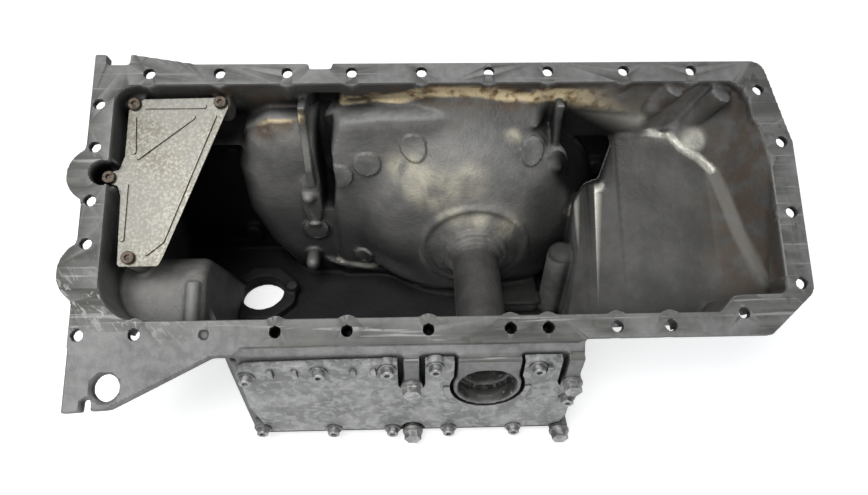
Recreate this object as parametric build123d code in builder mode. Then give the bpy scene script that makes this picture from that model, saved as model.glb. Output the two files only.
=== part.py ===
from build123d import *
import math
import os

os.makedirs("parts", exist_ok=True)

# Engine oil pan, cast aluminium, standing on its flat bottom with the gasket flange up.
# X runs along the crankshaft, Y points to the side of the front differential, Z is up.
# The origin lies on the flat bottom, straight below the half shaft tunnel.

# ---- driving dimensions, in millimetres and degrees ----

# gasket flange, measured in its own slanted plane from the near bolt row
flange_tilt = 30.0
near_row_height = 138.0
near_row_y = -70.0
bolt_row_spacing = 220.5
left_column_x = -320.5
right_column_x = 255.0
flange_margin = 9.0
flange_thickness = 12.0
flange_corner_rise = 9.5
bolt_hole_r = 4.5
bolt_boss_r = 10.0
bolt_boss_shift = 3.0
bolt_boss_depth = 28.0
bolt_seat_r = 8.5
bolt_seat_thickness = 7.0
inner_corner_r = 16.0
inner_near_corner_r = 34.0
blind_depth = 22.0
blind_mark_depth = 3.0
seal_width = 10.5

# cast relief inside: round pads, rope-like beads, bosses and rib feet
pad_depth = 14.0
foot_thickness = 8.0
foot_ball_r = 6.5
bead_r = 2.6
seam_bead_r = 3.6
ball_r = 6.0
ridge_r = 10.0
drop_r = 15.0
drop_height = 2.5
post_r = 7.5
column_r = 14.0
column_top_z = 98.0
column_x = 84.0
column_y = 50.0
block_height = 16.0
hump_bead_r = 6.0

# walls and floors
wall = 5.0
floor_thickness = 8.0
hump_depth = 42.0
hump_far_y = 74.0
hump_right_x = -238.0
hump_r = 28.0
shallow_depth = 62.0
shallow_end_depth = 38.0
saddle_x = 98.0
saddle_near_y = 40.0
saddle_far_y = 86.0
shoulder_drop = 28.0
shoulder_length = 54.0
far_wall_lean = 23.0
far_wall_start_x = 44.0
near_face_y = -84.0
sump_left_x = -204.0
sump_right_x = 76.0
sump_far_y = 146.0
sump_top_drop = 24.0
sump_top_tilt = 17.5

# half shaft tunnel and the bell round the front differential
tunnel_height = 88.0
tunnel_bore_r = 17.5
tunnel_seat_r = 24.0
tunnel_seat_depth = 14.0
tunnel_r = 22.0
tunnel_mouth_r = 28.5
tunnel_mouth_height = 9.0
collar_r = 26.0
collar_start_y = 44.0
collar_width = 8.0
collar_foot_r = 31.0
bell_start_y = 58.0
bell_face_r = 84.0
bell_face_y = 74.0
bell_ring_r = 50.0
bell_ring_width = 4.0
bell_mouth_r = 127.0
bell_mouth_y = 134.0
mount_face_y = 150.0
mount_face_thickness = 16.0
mount_face_r = 140.0
mount_bolt_r = 5.1
mount_bolt_circle_r = 131.5
mount_bolt_depth = 14.0
mount_boss_r = 9.0

# recess beside the bell, for the differential's nose
nose_left_x = -226.0
nose_top_rise = 69.0
nose_front_y = 104.0
nose_round = 24.0
nose_top_round = 42.0
cheek_left_x = -140.0
cheek_front_y = 99.0
cheek_top_round = 36.0
cheek_round = 12.0
nose_frame = 14.0

# floor port of the level sensor
port_x = -219.0
port_y = 69.0
port_r = 22.0
port_pad_r = 38.0
port_pad_height = 9.0
port_boss_r = 6.5
port_boss_height = 15.0

# ribs that brace the far wall on the bell
rib_thickness = 7.0
rib_left_x = -155.0
rib_right_x = 72.0

# window in the near wall, closed by the side cover
window_left_x = -178.0
window_right_x = -92.0
window_bottom_z = 34.0
window_top_z = 100.0
inside_boss_depth = 16.0

# ear plate at the near left corner
ear_drop = 1.0
ear_thickness = 9.0
ear_reach = 50.0
ear_hole_r = 10.5

# side cover and its screws
cover_thickness = 6.0
gasket_thickness = 1.0
cover_left_x = -199.0
cover_right_x = 73.0
cover_bottom_z = 17.0
cover_top_z = 121.0
cover_gap = 2.5
cover_rim_width = 5.0
cover_lobe_r = 8.0
gasket_inset = 0.5
cover_screw_seat = 1.5
cover_screw_seat_r = 7.0
cover_fin_width = 4.0
cover_fin_height = 3.0
cover_fin_x = [-173.0, -154.0, -108.0, -92.0, 48.0]
cover_socket_r = 2.6
cover_screw_hole_r = 3.2
cover_screw_r = 3.0
cover_screw_head_r = 5.0
cover_screw_head = 5.0
cover_screw_grip = 14.0

# hexagon flange bolts of the shaft housing
housing_bolt_r = 4.0
housing_bolt_flats = 13.0
housing_bolt_head = 7.0
housing_bolt_grip = 22.0
housing_bolt_flange_r = 8.0
hex_flange = 1.8
housing_washer_r = 9.0
housing_washer_thickness = 2.0
housing_boss_r = 8.5
housing_boss_height = 9.0
housing_web_width = 13.0

# baffle plate
baffle_thickness = 1.5
baffle_drop = 15.0
baffle_bead = 1.6
baffle_bead_r = 2.2
baffle_socket_r = 2.6
baffle_screw_r = 3.0
baffle_screw_head_r = 5.5
baffle_screw_head = 3.5
baffle_screw_grip = 12.0
baffle_boss_r = 7.5
baffle_boss_length = 22.0
post_root = 9.0

# drain plug in the low left wall
drain_plug_r = 7.0
drain_plug_flats = 17.0
drain_plug_y = 60.0
drain_plug_height = 34.0
drain_boss_r = 14.0
drain_boss_height = 6.0
drain_washer_r = 12.0
drain_washer_thickness = 1.5
drain_plug_head = 8.0
drain_plug_grip = 16.0

# small fits
clearance = 0.3
thread_relief = 0.1

# ---- places worked out from them ----

tilt = math.radians(flange_tilt)
normal = (0, -math.sin(tilt), math.cos(tilt))
FLANGE = Plane(origin=(0, near_row_y, near_row_height), x_dir=(1, 0, 0), z_dir=normal)
NEAR_FACE = Plane(origin=(0, near_face_y, 0), x_dir=(1, 0, 0), z_dir=(0, -1, 0))
TUNNEL_AXIS = Axis((0, 0, tunnel_height), (0, 1, 0))

flange_left = left_column_x - 7.5
flange_right = right_column_x + 10.0
flange_near = -flange_margin
flange_far = bolt_row_spacing + flange_margin
inner_left = flange_left + 20.0
inner_right = right_column_x - 12.0
inner_near = seal_width
inner_far = bolt_row_spacing - seal_width

near_row_x = [-320.5, -277.0, -168.0, -112.0, -48.0, 17.0, 47.0, 102.0, 145.0]
far_row_x = [-281.0, -222.0, -165.0, -110.0, -50.0, 8.0, 59.0, 125.0, 184.0]
left_column_y = [73.0, 109.0, 155.0, 193.0]
right_column_y = [32.0, 92.0, 154.0]
blind_hole = (-223.0, -1.0)
corner_holes = [(205.0, 9.0), (241.0, 202.0)]

cover_screw_hole_depth = cover_screw_grip - cover_thickness - gasket_thickness + 1
housing_hole_depth = housing_bolt_grip - housing_washer_thickness + 1
inner_middle_x = (inner_left + inner_right) / 2
inner_middle_y = (inner_near + inner_far) / 2
ear_edge_x = inner_left - 10
DRAIN_FACE = Plane(
    origin=(inner_left - wall - drain_boss_height, drain_plug_y, drain_plug_height),
    x_dir=(0, 1, 0),
    z_dir=(-1, 0, 0),
)
nose_top_z = near_row_height + nose_top_rise
rib_top_z = nose_top_z + 17
rib_outline = [
    (nose_front_y, rib_top_z),
    (nose_front_y + 24, rib_top_z),
    (mount_face_y - 6, nose_top_z - 21),
    (mount_face_y - 6, nose_top_z - 47),
    (nose_front_y + 3, 130),
    (nose_front_y - 7, 138),
    (nose_front_y - 10, 160),
]

# the differential's nose recess seen along the tunnel: a rounded lobe, and a cheek beside the bell
nose_outline = [
    (nose_left_x + 40, -60),
    (nose_left_x + 40, 6),
    (nose_left_x + 14, 50),
    (nose_left_x, 95),
    (nose_left_x, 152),
    (nose_left_x + 14, 190),
    (nose_left_x + 38, nose_top_z),
    (cheek_left_x + 30, nose_top_z),
    (cheek_left_x + 30, -60),
]
cheek_outline = [
    (cheek_left_x, -60),
    (cheek_left_x, nose_top_z - 9),
    (cheek_left_x + 14, nose_top_z + 1),
    (cheek_left_x + 50, nose_top_z + 7),
    (cheek_left_x + 110, nose_top_z + 7),
    (cheek_left_x + 110, -60),
]

# round pads on the recess wall: place of the middle of the face, and radius
pad_places = [
    (-127, 98, 149, 14),
    (-103, 98, 164, 14),
    (-58, 100, 182, 12.5),
    (-158, 102, 75, 13.5),
    (-112, 98, 36, 10.5),
    (95, 93, 122, 11.5),
    (51, 98, 183, 11.5),
]
# feet of the two ribs: place of the middle, half width, half height, place of the ball
rib_feet = [
    ((rib_left_x - 3, nose_front_y - 5, 116), 10, 32, (rib_left_x - 5, nose_front_y - 6, 124)),
    ((rib_right_x, bell_face_y + 17, 162), 13, 23, (rib_right_x + 1, bell_face_y + 16, 168)),
]
# rope-like beads: along the foot of the bell and nose, and under the far wall
foot_bead = [(-152, 104, 30), (-138, 100, 25), (-107, 99, 18), (-82, 98, 11)]
foot_bead += [(-57, 83, 9), (-34, 74, 9), (-16, 71, 9)]
foot_bead_right = [(16, 71, 9), (34, 75, 9), (51, 84, 9), (62, 92, 10)]
crest_bead = [(86, 96, 92), (97, 94, 100), (106, 90, 118), (113, 84, 140), (120, 83, 151)]
# the same, in the flange's frame: under the far wall and along the right end
top_bead = [(-132, 210, -43), (-105, 210, -39), (-82, 209, -32)]
top_bead += [(-60, 210, -29), (-30, 210, -31), (20, 210, -30)]
lobe_bead = [(-205, 210, -54), (-190, 211, -51), (-165, 210, -48)]
shallow_bead = [(144, 190, -60), (162, 188, -58), (181, 183, -55)]
corner_bead = [(181, 183, -55), (190, 170, -53), (205, 159, -51), (216, 145, -48)]
far_ridges = [((150, 201, -60), (172, 209, -8)), ((196, 192, -51), (212, 202, -6))]
drop_place = (197, 172.6, -48)

# sloping walls of the right end, each through three places in the flange's frame
end_wall_points = [
    [(232, 81, -41), (221, 137, -46), (243, 110, -10)],
    [(216, 144, -48), (181, 183, -55), (234, 196, -8)],
    [(223, 81, -46), (212, 137, -50), (224, 137, -41)],
]

bolt_places = [(x, 0) for x in near_row_x]
bolt_places += [(x, bolt_row_spacing) for x in far_row_x]
bolt_places += [(left_column_x, y) for y in left_column_y]
bolt_places += [(right_column_x, y) for y in right_column_y]
bolt_places += corner_holes
blind_bolts = [(x, y) for x, y in bolt_places if y < 1 and cover_left_x < x < sump_right_x]
through_bolts = [place for place in bolt_places if place not in blind_bolts]


cover_face_y = near_face_y - gasket_thickness - cover_thickness
block_top_z = near_row_height - 12
screw_places = [
    (cover_left_x + 6, cover_top_z - 14),
    (cover_left_x + 64, cover_top_z - 8),
    (cover_left_x + 118, cover_top_z - 6),
    (cover_left_x + 156, cover_top_z - 4),
    (cover_right_x - 34, cover_top_z - 6),
    (cover_right_x - 4, cover_top_z - 55),
    (cover_left_x + 5, cover_bottom_z + 6),
    (cover_left_x + 67, cover_bottom_z + 3),
    (cover_left_x + 119, cover_bottom_z + 1),
    (cover_left_x + 169, cover_bottom_z),
    (cover_right_x - 45, cover_bottom_z),
]
housing_places = [
    (-62.0, tunnel_height + 4),
    (68.5, tunnel_height + 5),
    (-62.0, cover_bottom_z),
    (70.0, cover_bottom_z - 5),
]
mount_places = [
    (mount_bolt_circle_r * math.cos(angle), tunnel_height + mount_bolt_circle_r * math.sin(angle))
    for angle in (math.radians(-30), math.radians(18), math.radians(66), math.radians(108))
]
mount_places += [
    (nose_left_x - nose_frame / 2, 40),
    (nose_left_x - nose_frame / 2, 150),
    (nose_left_x + 60, nose_top_z + 5),
]
baffle_places = [
    (inner_left + 11, inner_far - 11),
    (inner_left + 84, inner_far - 10),
    (inner_left - 5, 133),
    (inner_left + 16, 64),
]


def flange_point(x, y, z):
    """Row-frame place of a point given in the flange's own plane."""
    return FLANGE.from_local_coords(Vector(x, y, z))


def flange_points(places):
    """Row-frame places of several points given in the flange's own plane."""
    return [flange_point(*place) for place in places]


def inner_outline(grow):
    """Edge of the flange's opening, moved outwards by grow."""
    with BuildLine() as line:
        Polyline(
            (inner_left, inner_near),
            (inner_left, inner_far),
            (inner_right - 25, inner_far),
            (inner_right - 12, inner_far - 9),
            (inner_right - 10, inner_far - 34),
            (inner_right, inner_far - 50),
            (inner_right, inner_near + 14),
            (inner_right - 44, inner_near + 13),
            (inner_right - 56, inner_near),
            close=True,
        )
    with BuildSketch() as sketch:
        add(line.line)
        make_face()
        fillet(sketch.vertices().sort_by(Axis.X)[:2].sort_by(Axis.Y)[-1:], inner_corner_r)
        fillet(sketch.vertices().sort_by(Axis.X)[:3].sort_by(Axis.Y)[:1], inner_near_corner_r)
        fillet(sketch.vertices().sort_by(Axis.X)[-6:], 6)
        if grow:
            offset(amount=grow)
    return sketch.sketch


def side_profile(grow):
    """Depth of the upper pan along the crankshaft, moved outwards by grow."""
    with BuildSketch() as sketch:
        with BuildLine():
            Polyline(
                (inner_left, 5),
                (inner_left, -shallow_depth),
                (sump_right_x - 20, -shallow_depth),
                (sump_right_x - 12, -shallow_depth - shoulder_drop),
                (sump_right_x + 8, -shallow_depth - shoulder_drop),
                (sump_right_x + 26, -shallow_depth - 0.35 * shoulder_drop),
                (sump_right_x + shoulder_length, -shallow_depth),
                (inner_right - 40, -shallow_end_depth - 14),
                (inner_right, -shallow_end_depth),
                (inner_right, 5),
                close=True,
            )
        make_face()
        fillet(sketch.vertices().sort_by(Axis.Y)[:4], 8)
        fillet(sketch.vertices().sort_by(Axis.X)[-3:-2], 12)
        if grow:
            offset(amount=grow, kind=Kind.INTERSECTION)
    return sketch.sketch


def deep_outline(shrink):
    """Plan of the deep sump, moved inwards by shrink."""
    with BuildSketch() as sketch:
        with BuildLine():
            Polyline(
                (sump_left_x, near_face_y),
                (sump_left_x - 40, near_face_y + 72),
                (inner_left - wall, near_face_y + 88),
                (inner_left - wall, sump_far_y),
                (saddle_x + 50, sump_far_y),
                (saddle_x + 20, saddle_far_y),
                (saddle_x, saddle_far_y),
                (saddle_x, saddle_near_y),
                (sump_right_x, near_face_y + 20),
                (sump_right_x, near_face_y),
                close=True,
            )
        make_face()
        fillet(sketch.vertices(), 9)
        if shrink:
            offset(amount=-shrink)
    return sketch.sketch


def hump(shrink):
    """Round-topped bulge that raises the floor in the near left corner."""
    end = Plane(origin=flange_point(hump_right_x - shrink, 0, 0), x_dir=FLANGE.y_dir, z_dir=(1, 0, 0))
    with BuildPart() as form:
        with BuildSketch(end):
            with BuildLine():
                Polyline(
                    (-60, -hump_depth - shrink),
                    (hump_far_y - shrink, -hump_depth - shrink),
                    (hump_far_y - shrink, -300),
                    (-60, -300),
                    close=True,
                )
            make_face()
            fillet(vertices().sort_by(Axis.Y)[-2:].sort_by(Axis.X)[-1:], hump_r - shrink)
        extrude(amount=-200)
        fillet(faces().filter_by(Axis.X).sort_by(Axis.X)[-1].edges().sort_by(SortBy.LENGTH)[:1], 8)
    return form.part


def wall_plane(points, grow):
    """Plane through three places in the flange's frame, facing outwards and moved outwards by grow."""
    first, second, third = [flange_point(*point) for point in points]
    across = second - first
    return Plane(origin=first, x_dir=across, z_dir=across.cross(third - first)).offset(grow)


def far_wedge(grow):
    """What the leaning far wall takes off the upper pan beside the bell."""
    lean = math.tan(math.radians(far_wall_lean))
    shift = grow / math.cos(math.radians(far_wall_lean))
    start = Plane(origin=flange_point(far_wall_start_x + grow, 0, 0), x_dir=FLANGE.y_dir, z_dir=(1, 0, 0))
    with BuildPart() as form:
        with BuildSketch(start):
            with BuildLine():
                Polyline(
                    (inner_far + shift, -8),
                    (inner_far + shift - 120 * lean, -128),
                    (inner_far + 60, -128),
                    (inner_far + 60, -8),
                    close=True,
                )
            make_face()
        extrude(amount=300)
    return form.part


def pan_body(grow, floor_z):
    """The pan's closed form: slanted upper part and upright deep sump."""
    top_angle = math.radians(sump_top_tilt)
    top_normal = (0, -math.sin(top_angle), math.cos(top_angle))
    sump_top = Plane(
        origin=(0, near_row_y, near_row_height - sump_top_drop),
        x_dir=(1, 0, 0),
        z_dir=top_normal,
    )
    with BuildPart() as deep:
        with BuildSketch(Plane.XY.offset(floor_z)):
            add(deep_outline(wall - grow))
        extrude(amount=near_row_height + 60 - floor_z)
        split(bisect_by=sump_top.offset(grow), keep=Keep.BOTTOM)
    with BuildPart() as body:
        with BuildSketch(FLANGE):
            add(inner_outline(grow))
        extrude(amount=-shallow_depth - 30)
        side = Plane(origin=flange_point(0, inner_far + 30, 0), x_dir=(1, 0, 0), z_dir=FLANGE.y_dir * -1)
        with BuildSketch(side):
            add(side_profile(grow))
        extrude(amount=inner_far + 60, mode=Mode.INTERSECT)
        add(far_wedge(grow), mode=Mode.SUBTRACT)
        for points in end_wall_points:
            split(bisect_by=wall_plane(points, grow), keep=Keep.BOTTOM)
        add(deep.part)
        add(hump(grow), mode=Mode.SUBTRACT)
    return body.part


def nose_form(outline, front_y, edge_round, top_round, shrink):
    """Bulge over one part of the nose recess, moved inwards by shrink."""
    far = mount_face_y + (1 if shrink else 0)
    with BuildPart() as form:
        with BuildSketch(Plane.XZ.offset(-far)):
            with BuildLine():
                Polyline(*outline, close=True)
            make_face()
            fillet(vertices().group_by(Axis.Z)[1:], 10)
            if shrink:
                offset(amount=-shrink)
        extrude(amount=far - front_y - shrink)
        fillet(faces().filter_by(Axis.Y).sort_by(Axis.Y)[0].edges(), edge_round - shrink)
        top = max(z for x, z in outline) - shrink
        left = min(x for x, z in outline)
        with BuildSketch(Plane.YZ.offset(left)):
            with BuildLine():
                Polyline((front_y, -60), (front_y, top), (far, top), (far, -60), close=True)
            make_face()
            fillet(vertices().sort_by(Axis.Y)[:2].sort_by(Axis.Z)[-1:], top_round)
        extrude(amount=-2 * left, mode=Mode.INTERSECT)
    return form.part


def dome(shrink):
    """Bell round the tunnel and nose recess beside it, moved inwards by shrink."""
    far = mount_face_y + (1 if shrink else 0)
    start = (bell_start_y + shrink, tunnel_height + collar_foot_r + 3 - shrink)
    mouth = (bell_mouth_y, tunnel_height + bell_mouth_r - shrink)
    with BuildPart() as form:
        with BuildSketch(Plane.YZ):
            with BuildLine():
                curve = Spline(
                    start,
                    (bell_face_y - 8 + shrink, tunnel_height + bell_ring_r + 2 - shrink),
                    (bell_face_y - 4 + shrink, tunnel_height + bell_face_r - 14 - shrink),
                    (bell_face_y + shrink, tunnel_height + bell_face_r - shrink),
                    (bell_face_y + 8 + shrink, tunnel_height + bell_face_r + 13 - shrink),
                    (bell_face_y + 22 + shrink, tunnel_height + bell_face_r + 28 - shrink),
                    (bell_face_y + 38, tunnel_height + bell_face_r + 38 - shrink),
                    mouth,
                )
                Polyline(
                    curve @ 1,
                    (far, tunnel_height + bell_mouth_r - shrink),
                    (far, tunnel_height),
                    (bell_start_y + shrink, tunnel_height),
                    curve @ 0,
                )
            make_face()
        revolve(axis=TUNNEL_AXIS)
        add(nose_form(nose_outline, nose_front_y, nose_round, nose_top_round, shrink))
        add(nose_form(cheek_outline, cheek_front_y, cheek_round, cheek_top_round, shrink))
    return form.part


def bead(points, radius):
    """Round bead along a smooth line through the points."""
    with BuildPart() as form:
        with BuildLine() as line:
            Spline(*points)
        start = Plane(origin=line.line @ 0, z_dir=line.line % 0)
        with BuildSketch(start):
            Circle(radius)
        sweep(path=line.line)
        for point in (points[0], points[-1]):
            with Locations(point):
                Sphere(radius)
    return form.part


# ---- the casting ----

cavity = pan_body(0, floor_thickness)
shell = pan_body(wall, 0)
dome_outer = dome(0)
dome_inner = dome(wall)
with BuildPart() as dome_wall:
    add(dome_outer)
    split(bisect_by=Plane.XY, keep=Keep.TOP)

# ear plate: from the flange's near edge out to a blunt corner with a slot
ear_near = flange_near - ear_reach
ear_hole = (flange_left + 32, flange_near - 31)

with BuildPart() as flange:
    with BuildSketch(FLANGE):
        with BuildLine():
            Polyline(
                (flange_left, flange_near),
                (flange_left, flange_far + flange_corner_rise),
                (flange_left + 30, flange_far + flange_corner_rise),
                (flange_left + 86, flange_far),
                (flange_right - 18, flange_far),
                (flange_right - 4, flange_far - 60),
                (flange_right, flange_far - 76),
                (flange_right, flange_near + 34),
                (flange_right - 39, flange_near),
                close=True,
            )
        make_face()
        fillet(vertices().group_by(Axis.X)[-1], 12)
        fillet(vertices().group_by(Axis.Y)[-2].sort_by(Axis.X)[-1:], 14)
    extrude(amount=-flange_thickness)
    # part-round lugs on the left edge
    with BuildSketch(FLANGE):
        with Locations((flange_left + 9.5, 131.5)):
            Circle(23.5)
        with Locations((flange_left + 12.7, 50.5)):
            Circle(26.7)
    extrude(amount=-flange_thickness)
    with BuildSketch(FLANGE.offset(-ear_drop)):
        with BuildLine():
            Polyline(
                (flange_left, flange_near + 10),
                (flange_left, ear_near),
                (flange_left + 36, ear_near + 2),
                (flange_left + 111, flange_near - 10),
                (flange_left + 130, flange_near - 10),
                (flange_left + 140, flange_near + 10),
                close=True,
            )
        make_face()
        fillet(vertices().group_by(Axis.Y)[1:3], 8)
        with Locations(ear_hole):
            Circle(ear_hole_r, mode=Mode.SUBTRACT)
        with Locations((flange_left + 18.5, ear_near + 5)):
            Rectangle(7, 11, mode=Mode.SUBTRACT)
    extrude(amount=-ear_thickness)
    # notches in the far edge
    with BuildSketch(FLANGE):
        with Locations((flange_left + 20, flange_far + 6), (flange_left + 191, flange_far + 1)):
            Rectangle(20, 13)
    extrude(amount=-flange_thickness, mode=Mode.SUBTRACT)

with BuildPart() as column:
    with BuildSketch(Plane.XY.offset(floor_thickness / 2)):
        with Locations((column_x, column_y)):
            Circle(column_r)
    extrude(amount=column_top_z - floor_thickness / 2)
    fillet(faces().sort_by(Axis.Z)[-1].edges(), column_r / 2)

with BuildPart() as relief:
    # collar of the tunnel and ring round it
    for radius, near, far in (
        (collar_r, collar_start_y, collar_start_y + collar_width),
        (collar_foot_r, collar_start_y + collar_width, bell_start_y + 4),
    ):
        with BuildSketch(Plane.XZ.offset(-far)):
            with Locations((0, tunnel_height)):
                Circle(radius)
        extrude(amount=far - near)
    with BuildSketch(Plane.YZ):
        with Locations((bell_face_y - 8, tunnel_height + bell_ring_r)):
            Circle(bell_ring_width)
    revolve(axis=TUNNEL_AXIS)

    # bosses behind the differential's bolts
    with BuildSketch(Plane.XZ.offset(-mount_face_y)):
        with Locations(*mount_places):
            Circle(mount_boss_r)
    extrude(amount=mount_bolt_depth + wall)

    # pads and beads on the recess wall, and the far wall's ridges
    for x, y, z, radius in pad_places:
        with BuildSketch(Plane.XZ.offset(-y)):
            with Locations((x, z)):
                Circle(radius)
        extrude(amount=-pad_depth)
    for points in (foot_bead, foot_bead_right):
        add(bead(points, bead_r))
    for points in (lobe_bead, shallow_bead):
        add(bead(flange_points(points), bead_r))
    add(bead(crest_bead, seam_bead_r))
    for points in (top_bead, corner_bead):
        add(bead(flange_points(points), seam_bead_r))
    with Locations(flange_point(*shallow_bead[-1])):
        Sphere(ball_r)
    for ridge in far_ridges:
        foot, head = flange_points(ridge)
        along = head - foot
        with BuildSketch(Plane(origin=foot, x_dir=(1, 0, 0), z_dir=along)):
            Circle(ridge_r)
        extrude(amount=along.length)
        with Locations(foot):
            Sphere(ridge_r)
    # feet of the ribs, each with a ball
    for middle, half_width, half_height, ball in rib_feet:
        with BuildSketch(Plane.XZ.offset(-middle[1])):
            with Locations((middle[0], middle[2])):
                Ellipse(half_width, half_height)
        extrude(amount=-foot_thickness - 4)
        with Locations(ball):
            Sphere(foot_ball_r)
    # ridge across the hump, and the flat drop beside the ball on the right end wall
    with BuildSketch(Plane(origin=flange_point(hump_right_x - 9, 8, 1 - hump_depth), z_dir=FLANGE.y_dir)):
        Circle(hump_bead_r)
    extrude(amount=hump_far_y - 34)
    corner = wall_plane(end_wall_points[1], 0)
    with BuildSketch(Plane(origin=flange_point(*drop_place), x_dir=corner.x_dir, z_dir=corner.z_dir)):
        Circle(drop_r)
    extrude(amount=-drop_height)
    # post on the nose, column and block beside the tunnel
    with BuildSketch(Plane.XZ.offset(-nose_front_y + 16)):
        with Locations((nose_left_x + 61, 40)):
            Circle(post_r)
    extrude(amount=-20)
    with Locations((nose_left_x + 61, nose_front_y - 16, 40)):
        Sphere(post_r)
    add(column.part)
    with BuildSketch(Plane.XY.offset(floor_thickness)):
        with Locations((50, 62)):
            RectangleRounded(40, 40, 6)
    extrude(amount=block_height)

    # ribs from the far wall down to the bell
    for x in (rib_left_x, rib_right_x):
        with BuildSketch(Plane.YZ.offset(x - rib_thickness / 2)):
            with BuildLine():
                Polyline(*rib_outline, close=True)
            make_face()
            fillet(vertices().sort_by(Axis.X)[:1], 8)
        extrude(amount=rib_thickness)

with BuildPart() as pan_casting:
    add(flange.part)
    add(shell)
    # near wall block that carries the side cover
    with BuildSketch(Plane.YZ.offset(cover_left_x)):
        with BuildLine():
            Polyline(
                (near_face_y, 0),
                (near_face_y, block_top_z),
                (near_face_y + 6, block_top_z + 6),
                (near_row_y + 10, near_row_height - 2),
                (near_row_y + 10, 0),
                close=True,
            )
        make_face()
    extrude(amount=sump_right_x - cover_left_x)
    # machined face round the differential's recess
    with BuildSketch(Plane.XZ.offset(-mount_face_y)):
        with Locations((0, tunnel_height)):
            Circle(mount_face_r)
        with Locations((nose_left_x - nose_frame, 0)):
            Rectangle(
                nose_frame - nose_left_x,
                nose_top_z + nose_frame - 5,
                align=(Align.MIN, Align.MIN),
            )
        with Locations((0, -mount_face_r)):
            Rectangle(4 * mount_face_r, 2 * mount_face_r, mode=Mode.SUBTRACT)
    extrude(amount=mount_face_thickness)
    # tunnel mouth and the four housing bolt bosses on the near face
    with BuildSketch(NEAR_FACE):
        with Locations((0, tunnel_height)):
            Circle(tunnel_mouth_r)
            Rectangle(2 * tunnel_mouth_r - 6, block_top_z - tunnel_height, align=(Align.CENTER, Align.MIN))
    extrude(amount=tunnel_mouth_height)
    with BuildSketch(NEAR_FACE):
        with Locations(*housing_places):
            Circle(housing_boss_r)
        with Locations(*housing_places[:2]):
            Rectangle(housing_web_width, block_top_z - housing_places[0][1], align=(Align.CENTER, Align.MIN))
    extrude(amount=housing_boss_height)
    # drain plug boss
    with BuildSketch(DRAIN_FACE):
        Circle(drain_boss_r)
    extrude(amount=-drain_boss_height - wall / 2)
    add(cavity, mode=Mode.SUBTRACT)
    add(dome_wall.part)

    # bosses under the flange bolts, which scallop the inside of the wall
    with BuildSketch(FLANGE):
        for x, y in bolt_places:
            step = Vector(inner_middle_x - x, inner_middle_y - y)
            across = abs(y - inner_middle_y) > 0.9 * inner_middle_y
            shift = Vector(0, math.copysign(bolt_boss_shift, step.Y))
            if not across:
                shift = Vector(math.copysign(bolt_boss_shift, step.X), 0)
            if x > ear_edge_x:
                with Locations((x + shift.X, y + shift.Y)):
                    Circle(bolt_boss_r)
    extrude(amount=-bolt_boss_depth)

    # tunnel with its collar
    with BuildSketch(Plane.XZ.offset(-bell_start_y - 4)):
        with Locations((0, tunnel_height)):
            Circle(tunnel_r)
    extrude(amount=bell_start_y + 4 - near_face_y)
    # inside bosses behind the cover's screws and the housing bolts
    with BuildSketch(NEAR_FACE.offset(-wall / 2)):
        with Locations(*screw_places):
            Circle(cover_screw_r + 3.5)
        with Locations(*housing_places):
            Circle(housing_bolt_r + 4.5)
    extrude(amount=-inside_boss_depth)

    # floor port with its pad and two small bosses
    with BuildSketch(Plane.XY.offset(floor_thickness)):
        with Locations((port_x, port_y)):
            RegularPolygon(port_pad_r, 8, rotation=22.5)
        fillet(vertices(), 8)
    extrude(amount=port_pad_height)
    with BuildSketch(Plane.XY.offset(floor_thickness)):
        with Locations((port_x + port_r + 9, port_y + 5), (port_x - port_r - 9, port_y - 13)):
            Circle(port_boss_r)
    extrude(amount=port_boss_height)

    # seats of the baffle
    with BuildSketch(FLANGE.offset(-baffle_drop - baffle_thickness)):
        for x, y in baffle_places[:2]:
            with Locations((x, y)):
                Circle(baffle_boss_r)
            with Locations((x, y)):
                Rectangle(2 * baffle_boss_r, inner_far + 2 - y, align=(Align.CENTER, Align.MIN))
        with Locations(baffle_places[2]):
            Circle(baffle_boss_r)
    extrude(amount=-baffle_boss_length)
    with BuildSketch(FLANGE.offset(-baffle_drop - baffle_thickness)):
        with Locations(baffle_places[3]):
            Circle(baffle_boss_r)
    extrude(amount=baffle_drop - hump_depth - post_root)

    add(relief.part)

    # the recess of the bell, open to the differential
    add(dome_inner, mode=Mode.SUBTRACT)
    with BuildSketch(Plane.XZ.offset(-bell_start_y - 20)):
        with Locations((0, tunnel_height)):
            Circle(tunnel_bore_r)
    extrude(amount=bell_start_y + 20 - near_face_y + 20, mode=Mode.SUBTRACT)
    with BuildSketch(NEAR_FACE.offset(tunnel_mouth_height)):
        with Locations((0, tunnel_height)):
            Circle(tunnel_seat_r)
    extrude(amount=-tunnel_seat_depth, mode=Mode.SUBTRACT)

    # holes of the flange: through beside the near wall block, blind above it
    with BuildSketch(FLANGE):
        with Locations(*blind_bolts):
            Circle(bolt_hole_r)
    extrude(amount=-blind_depth, mode=Mode.SUBTRACT)
    with BuildSketch(FLANGE):
        with Locations(*through_bolts):
            Circle(bolt_hole_r)
    extrude(amount=-bolt_boss_depth - 1, mode=Mode.SUBTRACT)
    with BuildSketch(FLANGE.offset(-bolt_seat_thickness)):
        with Locations(*through_bolts):
            Circle(bolt_seat_r)
    extrude(amount=-bolt_boss_depth, mode=Mode.SUBTRACT)
    with BuildSketch(FLANGE):
        with Locations(blind_hole):
            Circle(bolt_hole_r)
    extrude(amount=-blind_mark_depth, mode=Mode.SUBTRACT)

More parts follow.
